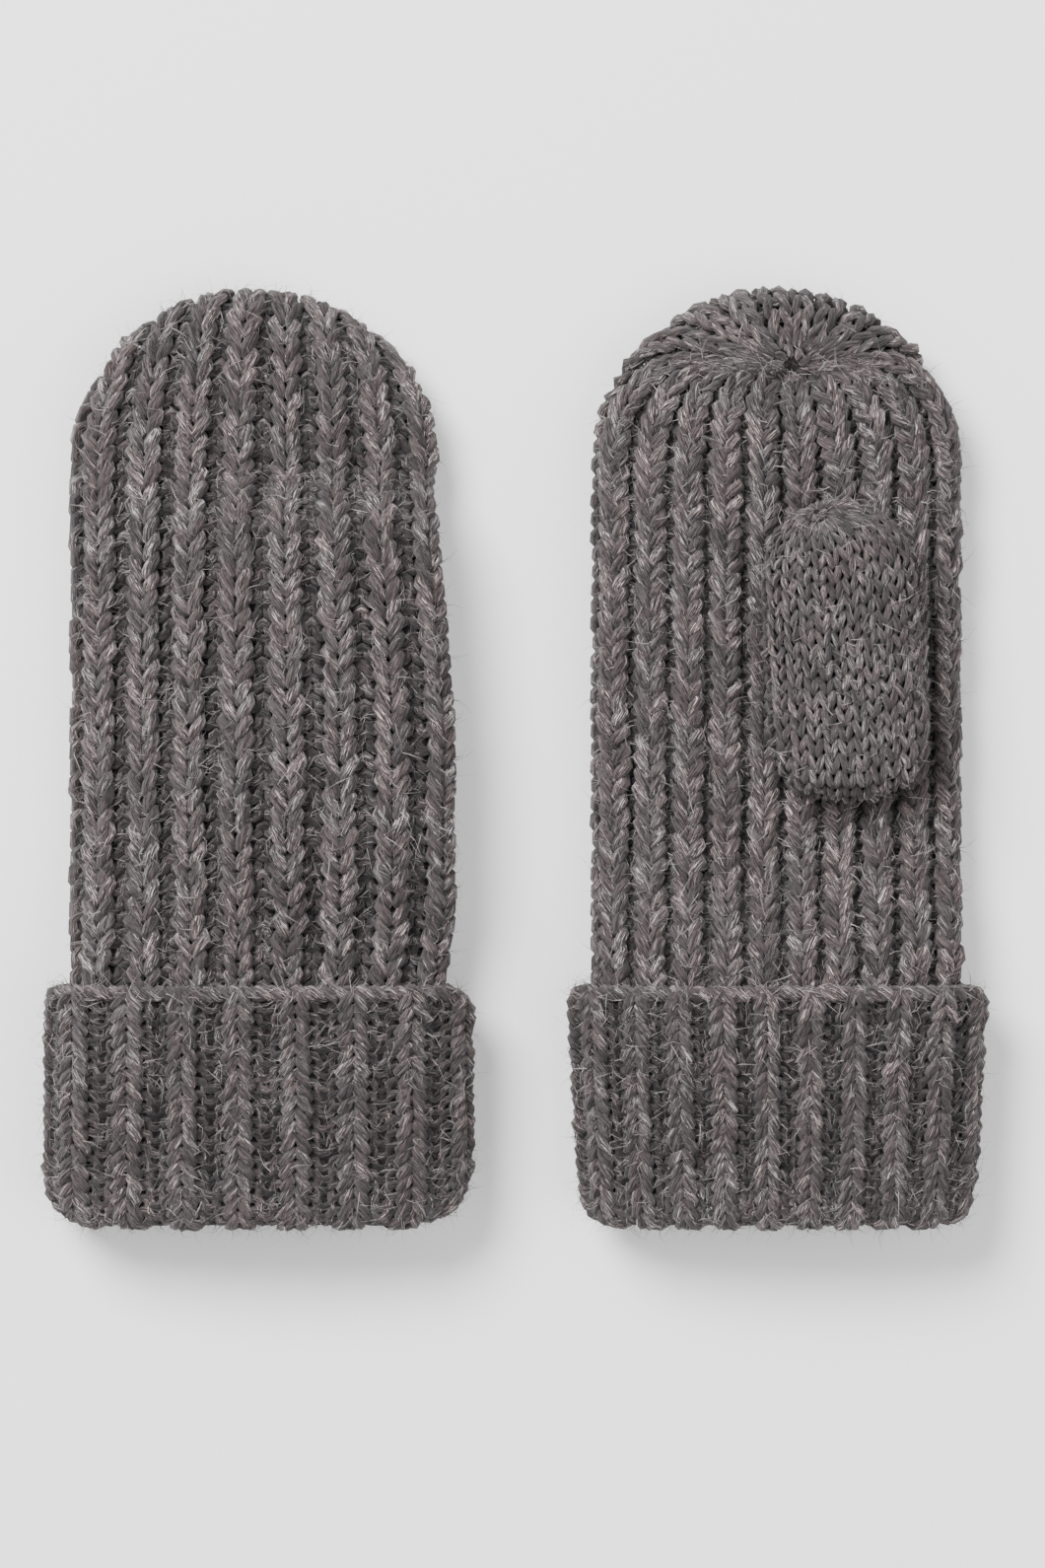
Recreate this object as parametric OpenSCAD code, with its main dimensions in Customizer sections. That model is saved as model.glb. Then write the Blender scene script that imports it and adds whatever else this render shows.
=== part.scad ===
// A pair of rib-knit wool mittens lying flat on a table, fingertips towards +Y.
// The right-hand mitten (+X) lies palm up with its thumb on top; the left-hand
// mitten (-X) lies palm down on its thumb. The origin is the middle of the
// footprint, on the table. Each soft part is a closed shell of plain fabric.

/* [Pair] */
// Distance between the centre lines of the two mittens
pair_pitch = 149; // [144:1:170]
// Length of a mitten from the crown to the bottom of the turned-up cuff
mitten_length = 270.6; // [266:0.2:276]

/* [Hand] */
// Width of the hand, laid flat
hand_width = 106.8; // [102:0.2:110]
// Thickness of the hand, laid flat
hand_height = 28; // [27.6:0.1:28.6]
// Thickness of the ribbed fabric
fabric = 7; // [6:0.1:7.6]
// Roundness of every cross-section: 2 is an ellipse, more is squarer
section_power = 2.4; // [2.2:0.1:2.8]
// Distance from the crown's tip back to the knuckle line where the fingers fold
crown_length = 51.3; // [49:0.1:52]
// Extra width that the resting hand spreads by on its thumb side
thumb_side_spread = 5; // [0:0.5:6]

/* [Cuff] */
// Height of the turned-up cuff, with its cast-on edge
cuff_height = 72.5; // [66:0.5:76]
// Height of the bulky cast-on edge
edge_height = 3.2; // [2.6:0.1:4]
// How much narrower the right-hand wrist is at the bottom, each side
wrist_taper = 3.5; // [0:0.5:4]

/* [Thumb] */
// Width of the thumb, laid flat
thumb_width = 46.6; // [42:0.2:47]
// Thickness of the thumb, laid flat
thumb_height = 16.4; // [16:0.1:16.6]
// Thickness of the thumb's plain fabric
thumb_fabric = 5.5; // [5:0.1:5.6]
// Distance from the middle of the thumb hole to the thumb's tip
thumb_reach = 71.6; // [66:0.2:72]
// Distance from the middle of the thumb hole to the thumb's closed base
thumb_heel = 17; // [16.5:0.1:18]
// Length of the rounded tip
thumb_tip_length = 26; // [22:1:28]
// Angle that the resting thumb leans across the palm
thumb_lean = 4; // [2:0.5:6]
// Radius of the hole in the palm that the thumb grows from
thumb_hole_r = 15; // [14:0.5:15.5]

/* [Yarn ends] */
// Radius of the crown's drawn-in gather
crown_gather_r = 6; // [5:0.5:7]
// Radius of the thumb tip's drawn-in gather
thumb_gather_r = 3.5; // [3:0.5:4]
// Radius of a woven-in yarn end inside the crown
crown_tail_r = 1.6; // [1.2:0.1:1.8]
// Radius of a woven-in yarn end inside the thumb
thumb_tail_r = 1.4; // [1:0.1:1.5]

/* [Hidden] */

LEFT = -1;
RIGHT = 1;
RIB_WOOL = "#5f595a";
PLAIN_WOOL = "#5b5657";
YARN_WOOL = "#6b6566";

// Clear gap between two pieces that move against each other.
gap = 0.3;
// Distance that a cutting solid runs past the face it opens.
past = 1;
// Points around a hand section, around a thumb section and around a yarn.
hand_points = 40;
thumb_points = 28;
yarn_points = 8;

tip_y = mitten_length / 2;
bottom_y = -mitten_length / 2;
knuckle_y = tip_y - crown_length;
cuff_top_y = bottom_y + cuff_height;
edge_y = cuff_top_y - edge_height;
wrist_end_y = bottom_y + fabric + gap;

// The hand's middle plane is a little below half its thickness, so that the
// section's lowest part is cut flat by the table.
settle = 0.2;
hand_half_w = hand_width / 2;
hand_half_t = hand_height / 2;
hand_mid = hand_half_t - settle;
cuff_mid = hand_half_t + fabric;
// The wrist sinks from the cuff's middle plane to the hand's between these.
sink_from_y = cuff_top_y + 2;
sink_to_y = sink_from_y + 36;
// Rings along the outside of each hand: the left one bends over its thumb.
left_hand_rings = 26;
right_hand_rings = 14;
crown_rings = 9;

thumb_half_w = thumb_width / 2;
thumb_half_t = thumb_height / 2;
thumb_pivot_x = 20;
thumb_pivot_y = 4;
thumb_heel_round = 6;
thumb_heel_flat = 0.35;
thumb_mouth_r = 11;
join_wall = 3.5;
// Heights of the two thumbs' middle planes: one on the palm, one on the table.
right_thumb_mid = hand_mid + hand_half_t + gap + thumb_half_t;
left_thumb_mid = gap + thumb_half_t;

// How far the left hand's palm and back are lifted where they lie on the thumb.
palm_lift = thumb_height + 2 * gap + settle;
back_lift = palm_lift - 2;
// Where each lift starts, is full and ends: across from the centre line, and
// along from the cuff. The palm wraps the thumb closely and the back drapes.
palm_across = [-22, 1];
palm_along = [-50, -26, knuckle_y - 12];
back_across = [-46, 14];
back_along = [-58, -20, knuckle_y - 20];

// Share of the left hand's spread that is left inside its cuff.
cuff_spread_share = 0.5;

crown_gather_x = 4;
crown_gather_y = tip_y - 23.3;
crown_gather_deep = 5.7;
thumb_gather_x = -4.9;
thumb_gather_y = thumb_reach - 4.1;
thumb_gather_deep = 4.3;
thumb_gather_base = 1;
pinhole_r = 0.8;

// ---- shared functions ----

function clamp01(t) = min(1, max(0, t));

function smooth(t) = let (c = clamp01(t)) c * c * (3 - 2 * c);

// Signed power that squares off a circle's sine or cosine.
function squared_off(v) = sign(v) * pow(abs(v), 2 / section_power);

function centre_x(side) = side * pair_pitch / 2;

function middle_z(y) =
    hand_mid + (cuff_mid - hand_mid) * smooth((sink_to_y - y) / (sink_to_y - sink_from_y));

// Share of a lift at a place on the left hand.
function lift_share(across, along, x, y) =
    smooth((x - across[0]) / (across[1] - across[0]))
    * smooth((y - along[0]) / (along[1] - along[0]))
    * smooth((knuckle_y - y) / (knuckle_y - along[2]));

// Lift at a place on the left hand: up is -1 on the palm's side and 1 on the back's.
function lift(side, x, y, up) =
    side == RIGHT
        ? 0
        : palm_lift * lift_share(palm_across, palm_along, x, y) * (1 - up) / 2
            + back_lift * lift_share(back_across, back_along, x, y) * (1 + up) / 2;

function spread(side, y) =
    side == RIGHT
        ? 0
        : thumb_side_spread
            * (smooth((knuckle_y - y) / knuckle_y)
               - (1 - cuff_spread_share) * smooth((sink_from_y + 16 - y) / 16));

function wrist_half_w(side, y) =
    hand_half_w
    - (side == RIGHT ? wrist_taper * clamp01((cuff_top_y - y) / (cuff_top_y - wrist_end_y)) : 0);

// One ring of points around a hand section; grow offsets it from the outside
// of the fabric, and across and thick scale it where the crown closes.
function hand_ring(side, y, grow, across = 1, thick = 1) =
    [for (i = [0 : hand_points - 1])
        let (a = 360 * i / hand_points,
             u = squared_off(cos(a)),
             v = squared_off(sin(a)),
             w = (wrist_half_w(side, y) + grow) * across,
             t = (hand_half_t + grow) * thick,
             x = u * (w + max(0, sign(u)) * spread(side, y)))
        [centre_x(side) + x, y, max(0, middle_z(y) + v * t + lift(side, x, y, v))]];

// One ring around the thumb, in the thumb's own frame with its hole at 0, 0.
function thumb_ring(y, half_w, half_t) =
    [for (i = [0 : thumb_points - 1])
        let (a = 360 * i / thumb_points)
        [squared_off(cos(a)) * half_w, y, squared_off(sin(a)) * half_t]];

function join_rings(rings) = [for (ring = rings) each ring];

function band(a, b, n) =
    [for (i = [0 : n - 1])
        let (j = (i + 1) % n)
        each [[a + i, a + j, b + j], [a + i, b + j, b + i]]];

// ---- shared modules ----

// A solid through rings that follow each other along +Y, closed by flat ends,
// or by a point at the far end.
module loft(rings, tip = undef) {
    n = len(rings[0]);
    last = (len(rings) - 1) * n;
    sides = [for (k = [0 : len(rings) - 2]) each band(k * n, (k + 1) * n, n)];
    near_end = [[for (i = [n - 1 : -1 : 0]) i]];
    far_end = is_undef(tip)
        ? [[for (i = [0 : n - 1]) last + i]]
        : [for (i = [0 : n - 1]) [last + i, last + (i + 1) % n, last + n]];
    polyhedron(
        points = concat(join_rings(rings), is_undef(tip) ? [] : [tip]),
        faces = concat(near_end, sides, far_end)
    );
}

// A sleeve through rings that run up its outside and back down its inside.
module sleeve(rings) {
    n = len(rings[0]);
    count = len(rings);
    polyhedron(
        points = join_rings(rings),
        faces = [for (k = [0 : count - 1]) each band(k * n, ((k + 1) % count) * n, n)]
    );
}

// Moves the thumb's own frame to its place on a mitten.
module at_thumb(side) {
    translate([centre_x(side) + thumb_pivot_x, thumb_pivot_y,
               side == RIGHT ? right_thumb_mid : left_thumb_mid])
        rotate([0, 0, thumb_lean])
        children();
}

module crown_solid(side, inset) {
    length = crown_length - gap - inset;
    rings = [for (k = [0 : crown_rings - 1])
        let (a = 90 * k / crown_rings)
        [for (p = hand_ring(side, knuckle_y, -inset, cos(a), pow(cos(a), 0.55)))
            [p[0], knuckle_y + gap + length * sin(a), p[2]]]];
    mouth = [for (p = rings[0]) [p[0], p[1] - past, p[2]]];
    loft(
        concat(inset > 0 ? [mouth] : [], rings),
        [centre_x(side), knuckle_y + gap + length, hand_mid]
    );
}

// The thumb's outside, or its inside when inset is the fabric's thickness.
module thumb_solid(inset) {
    straight = thumb_reach - thumb_tip_length;
    heel = [for (a = [-90 : 30 : 0])
        thumb_ring(
            -thumb_heel + inset + thumb_heel_round * (1 + sin(a)),
            thumb_half_w - inset - thumb_heel_round * (1 - cos(a)) / 2,
            (thumb_half_t - inset) * (thumb_heel_flat + (1 - thumb_heel_flat) * cos(a))
        )];
    tip = [for (a = [0 : 10 : 80])
        thumb_ring(
            straight + (thumb_tip_length - inset) * sin(a),
            (thumb_half_w - inset) * cos(a),
            (thumb_half_t - inset) * pow(cos(a), 0.5)
        )];
    loft(concat(heel, tip), [0, thumb_reach - inset, 0]);
}

// A round plug of gathered loops with a pinhole down its middle, standing on z = 0.
module gather(radius, height) {
    rotate_extrude($fn = 40)
        translate([pinhole_r, 0])
        square([radius - pinhole_r, height]);
}

// ---- sub-parts ----

// Tube of ribbed fabric from the wrist's fold to the knuckles, with the thumb hole.
module hand(side) {
    count = side == LEFT ? left_hand_rings : right_hand_rings;
    length = knuckle_y - wrist_end_y;
    stations = [for (k = [0 : count]) wrist_end_y + length * k / count];
    hole_z = side == RIGHT ? hand_mid : 0;
    color(RIB_WOOL)
        difference() {
            loft([for (y = stations) hand_ring(side, y, 0)]);
            loft(concat(
                [[for (p = hand_ring(side, wrist_end_y, -fabric)) [p[0], p[1] - past, p[2]]]],
                [for (y = stations) hand_ring(side, y, -fabric)],
                [[for (p = hand_ring(side, knuckle_y, -fabric)) [p[0], p[1] + past, p[2]]]]
            ));
            translate([centre_x(side) + thumb_pivot_x, thumb_pivot_y, hole_z])
                cylinder(h = hand_height, r = thumb_hole_r, $fn = 48);
        }
}

// Closed end of the mitten beyond the knuckle line, with the hole for its gather.
module fingers(side) {
    color(RIB_WOOL)
        difference() {
            crown_solid(side, 0);
            crown_solid(side, fabric);
            translate([centre_x(side) + crown_gather_x, crown_gather_y,
                       side == RIGHT ? hand_mid : -past])
                cylinder(h = hand_mid + past, r = crown_gather_r, $fn = 40);
        }
}

// Closed flattened sock of plain fabric, open into the palm through its mouth.
module thumb(side) {
    color(PLAIN_WOOL)
        at_thumb(side)
        difference() {
            thumb_solid(0);
            thumb_solid(thumb_fabric);
            translate([0, 0, side == RIGHT ? -thumb_height : 0])
                cylinder(h = thumb_height, r = thumb_mouth_r, $fn = 48);
            translate([thumb_gather_x, thumb_gather_y,
                       side == RIGHT ? thumb_gather_base : -thumb_half_t])
                cylinder(h = thumb_half_t - thumb_gather_base, r = thumb_gather_r, $fn = 32);
        }
}

// Turned-up outer layer: the fold's round lip, then up over the wrist.
module cuff(side) {
    lip_steps = 8;
    lip_out = fabric + gap / 2;
    lip = [for (k = [0 : lip_steps])
        let (a = 180 * k / lip_steps)
        hand_ring(side, wrist_end_y - gap - fabric * sin(a), gap / 2 - lip_out * cos(a))];
    color(RIB_WOOL)
        sleeve(concat(
            lip,
            [hand_ring(side, edge_y, gap + fabric),
             hand_ring(side, edge_y, gap),
             hand_ring(side, wrist_end_y - gap, gap)]
        ));
}

// Bulky cast-on edge that finishes the top of the cuff.
module cast_on_edge(side) {
    steps = 4;
    color(YARN_WOOL)
        sleeve([for (k = [0 : steps])
            let (a = 180 * k / steps)
            hand_ring(side, edge_y + edge_height * sin(a), gap + fabric / 2 * (1 + cos(a)) * 0.96)]);
}

// Ring of stitches picked up around the thumb hole.
module thumb_join(side) {
    height = fabric - 1;
    base_z = side == RIGHT ? hand_mid + hand_half_t - fabric - 1 : palm_lift + 1;
    color(YARN_WOOL)
        translate([centre_x(side) + thumb_pivot_x, thumb_pivot_y, base_z])
        rotate_extrude($fn = 48)
        translate([thumb_hole_r - join_wall, 0])
        square([join_wall, height]);
}

// Loops of the last round, drawn together on the palm's side of the crown.
module crown_gather(side) {
    base_z = side == RIGHT ? hand_mid + 6.4 : hand_mid - 6.4 - crown_gather_deep;
    color(YARN_WOOL)
        translate([centre_x(side) + crown_gather_x, crown_gather_y, base_z])
        gather(crown_gather_r, crown_gather_deep);
}

// Loops of the thumb's last round, drawn together near its tip.
module thumb_gather(side) {
    base_z = side == RIGHT ? thumb_gather_base : -thumb_gather_base - thumb_gather_deep;
    color(YARN_WOOL)
        at_thumb(side)
        translate([thumb_gather_x, thumb_gather_y, base_z])
        gather(thumb_gather_r, thumb_gather_deep);
}

// Yarn end darned in along the inside of the crown's thumb side.
module crown_tail(side) {
    run = 46;
    color(YARN_WOOL)
        translate([centre_x(side), knuckle_y, hand_mid])
        rotate([0, 0, 8])
        rotate_extrude(angle = run, $fn = 72)
        translate([hand_half_w - fabric - 8, 0])
        circle(r = crown_tail_r, $fn = 24);
}

// Yarn end darned in along the inside of the thumb.
module thumb_tail(side) {
    run = 30;
    color(YARN_WOOL)
        at_thumb(side)
        translate([-13.3, thumb_mouth_r + 4, 0])
        rotate([-90, 0, 0])
        cylinder(h = run, r = thumb_tail_r, $fn = 24);
}

hand(LEFT);  // left_hand
fingers(LEFT);  // left_fingers
thumb(LEFT);  // left_thumb
cuff(LEFT);  // left_cuff
cast_on_edge(LEFT);  // left_cast_on_edge
thumb_join(LEFT);  // left_thumb_join
crown_gather(LEFT);  // left_crown_gather
thumb_gather(LEFT);  // left_thumb_gather
crown_tail(LEFT);  // left_crown_tail
thumb_tail(LEFT);  // left_thumb_tail
hand(RIGHT);  // right_hand
fingers(RIGHT);  // right_fingers
thumb(RIGHT);  // right_thumb
cuff(RIGHT);  // right_cuff
cast_on_edge(RIGHT);  // right_cast_on_edge
thumb_join(RIGHT);  // right_thumb_join
crown_gather(RIGHT);  // right_crown_gather
thumb_gather(RIGHT);  // right_thumb_gather
crown_tail(RIGHT);  // right_crown_tail
thumb_tail(RIGHT);  // right_thumb_tail
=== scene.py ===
"""A pair of rib-knit wool mittens, worked loop by loop around the CAD frame.

Each fabric is one surface with wales running along it and courses running
round it. The yarn of every course is drawn through that surface as a line,
and Geometry Nodes sweep the yarn along the line and lay loose fibres on it.
All sizes are in metres.
"""

import logging
import math
from dataclasses import dataclass, field
from enum import Enum
from typing import Callable, ClassVar, Sequence

import bpy
import numpy as np
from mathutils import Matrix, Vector


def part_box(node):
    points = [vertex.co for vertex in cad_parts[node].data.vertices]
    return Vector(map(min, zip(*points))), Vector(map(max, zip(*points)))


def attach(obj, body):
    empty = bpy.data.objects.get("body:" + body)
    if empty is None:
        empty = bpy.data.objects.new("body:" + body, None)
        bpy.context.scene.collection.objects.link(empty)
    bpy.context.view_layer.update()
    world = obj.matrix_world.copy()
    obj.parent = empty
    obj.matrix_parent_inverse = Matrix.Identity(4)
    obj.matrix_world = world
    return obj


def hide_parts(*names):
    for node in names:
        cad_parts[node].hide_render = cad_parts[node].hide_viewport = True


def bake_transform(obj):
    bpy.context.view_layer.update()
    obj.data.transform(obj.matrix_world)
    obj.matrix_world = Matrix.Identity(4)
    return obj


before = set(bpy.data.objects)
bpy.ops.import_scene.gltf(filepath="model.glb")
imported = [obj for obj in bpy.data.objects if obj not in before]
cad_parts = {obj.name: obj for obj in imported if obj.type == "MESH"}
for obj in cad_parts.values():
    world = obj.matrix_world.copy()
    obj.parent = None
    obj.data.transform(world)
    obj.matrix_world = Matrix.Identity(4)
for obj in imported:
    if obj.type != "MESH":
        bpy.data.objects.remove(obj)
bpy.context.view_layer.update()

LOG = logging.getLogger("mittens")
MM = 0.001
SEED = 11
PHASE_STEP = 1.37
PHASE_SPAN = 6.0
TABLE_CLEARANCE = 0.1 * MM
Lines = tuple[np.ndarray, np.ndarray, np.ndarray]


class Side(Enum):
    """Which mitten of the pair; the value is +1 where the palm lies upwards."""

    LEFT = -1
    RIGHT = 1

    @property
    def word(self) -> str:
        """The side's name as it starts the names of bodies and pieces."""
        return self.name.lower()


class Stitch(Enum):
    """The two stitches of a rib."""

    KNIT = 1
    PURL = -1


def smooth(t: np.ndarray) -> np.ndarray:
    """Ease from 0 to 1 as t goes from 0 to 1."""
    c = np.clip(t, 0.0, 1.0)
    return c * c * (3.0 - 2.0 * c)


def squared_off(v: np.ndarray, power: float) -> np.ndarray:
    """Signed power that squares off a circle's sine or cosine."""
    return np.sign(v) * np.abs(v) ** (2.0 / power)


def slerp(start: np.ndarray, pole: np.ndarray, share: np.ndarray) -> np.ndarray:
    """Turn unit vectors evenly towards a pole.

    Args:
        start: Unit vectors, with their parts on the last axis.
        pole: One unit vector.
        share: How far along each one is, 0 at start and 1 at the pole.

    Returns:
        Unit vectors between start and the pole.
    """
    angle = np.arccos(np.clip(start @ pole, -1.0, 1.0))[..., None]
    s = share[..., None]
    return (np.sin((1 - s) * angle) * start + np.sin(s * angle) * pole) / np.sin(angle)


# ---------------------------------------------------------------- forms


class KnitSurface:
    """A curved surface that a fabric lies in, sampled on an even grid.

    The first axis runs once round it (0 to 1) and closes on itself, and the
    second runs along it (0 to 1), evenly by length on every line.
    """

    def __init__(self, points: np.ndarray, outward: Callable[[np.ndarray], np.ndarray]) -> None:
        """Even out the samples and work out the normals.

        Args:
            points: Samples of shape (round, along, 3).
            outward: Gives a rough outward direction at points.
        """
        self.points = self._even(points)
        around = np.roll(self.points, -1, 0) - np.roll(self.points, 1, 0)
        along = np.gradient(self.points, axis=1)
        normal = np.cross(around, along)
        normal /= np.linalg.norm(normal, axis=2, keepdims=True) + 1e-15
        middle = normal.shape[1] // 3
        if np.sum(normal[:, middle] * outward(self.points[:, middle])) < 0:
            normal = -normal
        normal[:, -1] = normal[:, -2]
        self.normals = normal

    @staticmethod
    def _even(points: np.ndarray) -> np.ndarray:
        """Space the samples evenly along every line.

        Args:
            points: Samples of shape (round, along, 3).

        Returns:
            As many samples on the same lines.
        """
        steps = np.linalg.norm(np.diff(points, axis=1), axis=2)
        run = np.concatenate([np.zeros((len(points), 1)), np.cumsum(steps, axis=1)], axis=1)
        count = points.shape[1]
        even = np.empty_like(points)
        for k, (line, at) in enumerate(zip(points, run)):
            wanted = np.linspace(0.0, at[-1], count)
            for axis in range(3):
                even[k, :, axis] = np.interp(wanted, at, line[:, axis])
        return even

    def _sample(self, grid: np.ndarray, a: np.ndarray, q: np.ndarray) -> np.ndarray:
        """Read a grid between its samples.

        Args:
            grid: Values of shape (round, along, 3).
            a: Place round the surface, 0 to 1.
            q: Place along it, 0 to 1.

        Returns:
            The values there.
        """
        rounds, alongs = grid.shape[:2]
        x = np.mod(a, 1.0) * rounds
        y = np.clip(q, 0.0, 1.0) * (alongs - 1)
        i, j = np.floor(x).astype(int) % rounds, np.minimum(y.astype(int), alongs - 2)
        u, v = (x - np.floor(x))[..., None], (y - j)[..., None]
        k = (i + 1) % rounds
        near = grid[i, j] * (1 - u) + grid[k, j] * u
        far = grid[i, j + 1] * (1 - u) + grid[k, j + 1] * u
        return near * (1 - v) + far * v

    def at(self, a: np.ndarray, q: np.ndarray, out: np.ndarray | float = 0.0) -> np.ndarray:
        """Points on the surface, or off it along its normal.

        Args:
            a: Place round the surface, 0 to 1.
            q: Place along it, 0 to 1.
            out: Height over the surface.

        Returns:
            Points with their coordinates on the last axis.
        """
        height = np.asarray(out)[..., None]
        return self._sample(self.points, a, q) + self._sample(self.normals, a, q) * height

    def width(self, a: np.ndarray, q: np.ndarray) -> np.ndarray:
        """Length round the surface per whole turn, at a place.

        Args:
            a: Place round the surface, 0 to 1.
            q: Place along it, 0 to 1.

        Returns:
            The length.
        """
        step = 1.0 / 400.0
        gap = self.at(a + step, q) - self.at(a - step, q)
        return np.linalg.norm(gap, axis=-1) / (2 * step)


@dataclass(frozen=True)
class MittenForm:
    """The flat-lying shape of one mitten, as the frame has it."""

    side: Side
    centre_x: float
    half_w: float
    half_t: float
    middle: float
    tip_y: float
    knuckle_y: float
    wrist_end_y: float
    edge_y: float
    cuff_top_y: float
    fabric: float
    thumb_at: np.ndarray
    thumb_half_t: float
    power: float = 2.4
    settle: float = 0.2 * MM
    gap: float = 0.3 * MM
    wrist_taper: float = 3.5 * MM
    fold_corner: float = 18.0 * MM
    edge_corner: float = 7.0 * MM
    thumb_spread: float = 5.0 * MM
    sink_length: float = 36.0 * MM
    thumb_half_w: float = 23.3 * MM
    thumb_reach: float = 71.6 * MM
    thumb_heel: float = 17.0 * MM
    thumb_tip: float = 26.0 * MM
    thumb_fabric: float = 5.5 * MM
    thumb_lean: float = math.radians(4.0)
    palm_lift_across: tuple[float, float] = (-22 * MM, 1 * MM)
    palm_lift_along: tuple[float, float, float] = (-50 * MM, -26 * MM, -12 * MM)
    back_lift_across: tuple[float, float] = (-46 * MM, 14 * MM)
    back_lift_along: tuple[float, float, float] = (-58 * MM, -20 * MM, -20 * MM)
    back_lift_less: float = 2.0 * MM
    crown_gather: tuple[float, float] = (4.0 * MM, 23.3 * MM)
    thumb_gather: tuple[float, float] = (-4.9 * MM, 5.2 * MM)
    crown_blunt: float = 0.55
    thumb_blunt: float = 0.5
    heel_round: float = 7.5 * MM
    heel_slope: float = 24.0 * MM
    heel_pinch: float = 0.14
    around: int = 288

    @classmethod
    def measured(cls, side: Side) -> "MittenForm":
        """Take one mitten's sizes from the frame's own pieces.

        Args:
            side: Which hand the mitten is for.

        Returns:
            The measured form.
        """
        low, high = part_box(f"{side.word}_fingers")
        hand_low, hand_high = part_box(f"{side.word}_hand")
        cuff_low, cuff_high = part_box(f"{side.word}_cuff")
        edge_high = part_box(f"{side.word}_cast_on_edge")[1]
        join_low, join_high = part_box(f"{side.word}_thumb_join")
        thumb_low, thumb_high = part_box(f"{side.word}_thumb")
        half_t = (high[2] + cls.settle) / 2
        return cls(
            side=side,
            centre_x=(low[0] + high[0]) / 2,
            half_w=(high[0] - low[0]) / 2,
            half_t=half_t,
            middle=half_t - cls.settle,
            tip_y=high[1],
            knuckle_y=hand_high[1],
            wrist_end_y=hand_low[1],
            edge_y=cuff_high[1],
            cuff_top_y=edge_high[1],
            fabric=hand_low[1] - cuff_low[1] - cls.gap,
            thumb_at=np.array([
                (join_low[0] + join_high[0]) / 2,
                (join_low[1] + join_high[1]) / 2,
                (thumb_low[2] + thumb_high[2]) / 2,
            ]),
            thumb_half_t=(thumb_high[2] - thumb_low[2]) / 2,
        )

    @property
    def cuff_middle(self) -> float:
        """Height of the wrist's middle plane inside the cuff."""
        return self.half_t + self.fabric

    def middle_z(self, y: np.ndarray) -> np.ndarray:
        """Height of the hand's middle plane along the mitten.

        Args:
            y: Place along the mitten.

        Returns:
            The plane's height, which sinks from the cuff to the hand.
        """
        start = self.cuff_top_y + 2 * MM
        share = smooth((start + self.sink_length - y) / self.sink_length)
        return self.middle + (self.cuff_middle - self.middle) * share

    def _share(self, x: np.ndarray, y: np.ndarray, across: Sequence[float],
               along: Sequence[float]) -> np.ndarray:
        """How much of a lift the fabric has at a place.

        Args:
            x: Distance from the mitten's centre line.
            y: Place along the mitten.
            across: Where the lift starts and is full, across the mitten.
            along: Where it starts and is full along it, and its end before the knuckles.

        Returns:
            A share from 0 to 1.
        """
        return (
            smooth((x - across[0]) / (across[1] - across[0]))
            * smooth((y - along[0]) / (along[1] - along[0]))
            * smooth((self.knuckle_y - y) / -along[2])
        )

    def lift(self, x: np.ndarray, y: np.ndarray, up: np.ndarray) -> np.ndarray:
        """Lift of the fabric where it lies on its own thumb.

        Args:
            x: Distance from the mitten's centre line.
            y: Place along the mitten.
            up: -1 on the underside and 1 on the top.

        Returns:
            The height that each place is raised by.
        """
        if self.side is Side.RIGHT:
            return np.zeros_like(x * y * up)
        palm = 2 * self.thumb_half_t + 2 * self.gap + self.settle
        back = palm - self.back_lift_less
        near = self._share(x, y, self.palm_lift_across, self.palm_lift_along)
        wide = self._share(x, y, self.back_lift_across, self.back_lift_along)
        return palm * near * (1 - up) / 2 + back * wide * (1 + up) / 2

    def spread(self, y: np.ndarray) -> np.ndarray:
        """Extra width on the thumb side of the hand that rests on its palm.

        Args:
            y: Place along the mitten.

        Returns:
            The width added at each place.
        """
        if self.side is Side.RIGHT:
            return np.zeros_like(y)
        start, ease = self.cuff_top_y + 18 * MM, 16 * MM
        narrowing = 0.5 * smooth((start - y) / ease)
        return self.thumb_spread * (smooth((self.knuckle_y - y) / self.knuckle_y) - narrowing)

    def section(self, turn: np.ndarray, y: np.ndarray, grow: np.ndarray | float) -> np.ndarray:
        """Points of the hand's cross-section.

        Args:
            turn: Angle round the section, in radians.
            y: Place along the mitten.
            grow: Distance outside the fabric's outer face; inside is negative.

        Returns:
            Points with their coordinates on the last axis.
        """
        u, v = squared_off(np.cos(turn), self.power), squared_off(np.sin(turn), self.power)
        taper = self.wrist_taper if self.side is Side.RIGHT else 0.0
        down = np.clip((self.cuff_top_y - y) / (self.cuff_top_y - self.wrist_end_y), 0, 1)
        w = self.half_w - taper * down + grow
        x = u * (w + np.maximum(0, np.sign(u)) * self.spread(y))
        z = self.middle_z(y) + v * (self.half_t + grow) + self.lift(x, y, v)
        eased = y + self.soft_corner(x, y)
        return np.stack(np.broadcast_arrays(self.centre_x + x, eased, z), axis=-1)

    def soft_corner(self, x: np.ndarray, y: np.ndarray) -> np.ndarray:
        """How far the cuff's four corners draw in, along the mitten.

        Args:
            x: Distance from the mitten's centre line.
            y: Place along the mitten.

        Returns:
            The distance that each place is moved along the mitten.
        """
        top, bottom = self.cuff_top_y, self.wrist_end_y - self.gap - self.fabric
        near = np.clip((top - y) / (top - bottom), 0, 1)
        half = self.half_w + self.fabric + self.gap
        raised = 0.0
        for radius, share, way in (
            (self.fold_corner, near**2, 1.0), (self.edge_corner, (1 - near)**2, -1.0)
        ):
            part = np.clip((np.abs(x) - half + radius) / radius, 0, 0.97)
            raised = raised + way * radius * (1 - np.sqrt(1 - part**2)) * share
        return np.where(near > 0, raised, 0.0)

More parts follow.
